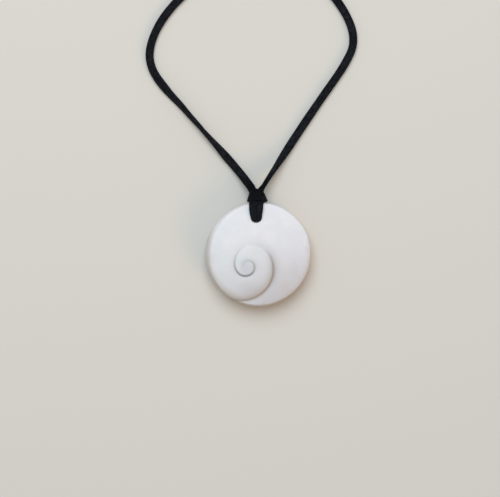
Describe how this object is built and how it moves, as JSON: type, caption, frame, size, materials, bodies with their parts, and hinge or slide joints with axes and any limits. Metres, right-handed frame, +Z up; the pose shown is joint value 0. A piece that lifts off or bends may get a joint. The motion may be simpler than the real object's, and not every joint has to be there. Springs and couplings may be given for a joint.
{
  "type": "shiva eye shell",
  "caption": "Polished white shiva eye shell with a spiral on its face, drilled near the rim and tied on a flat black lace that closes in a loop.",
  "frame": {"origin": "centre of the shell's outline, on the surface that the shell rests on", "axes": "+Z up out of the spiral face, +Y from the shell's centre towards its hole and the lace, +X to the right as one looks at the spiral face"},
  "size_m": [0.0923, 0.1949, 0.0115],
  "materials": {
    "polished_shell": "white porcelain-like shell, worn smooth and polished to a soft satin",
    "black_lace": "flat black suede-like lace, matte"
  },
  "bodies": {
    "root": {"shell": "polished_shell", "rim_knot": "black_lace", "lace_left": "black_lace", "lace_right": "black_lace", "lace_coil": "black_lace", "closing_knot": "black_lace", "coil_tie": "black_lace"}
  },
  "joints": []
}
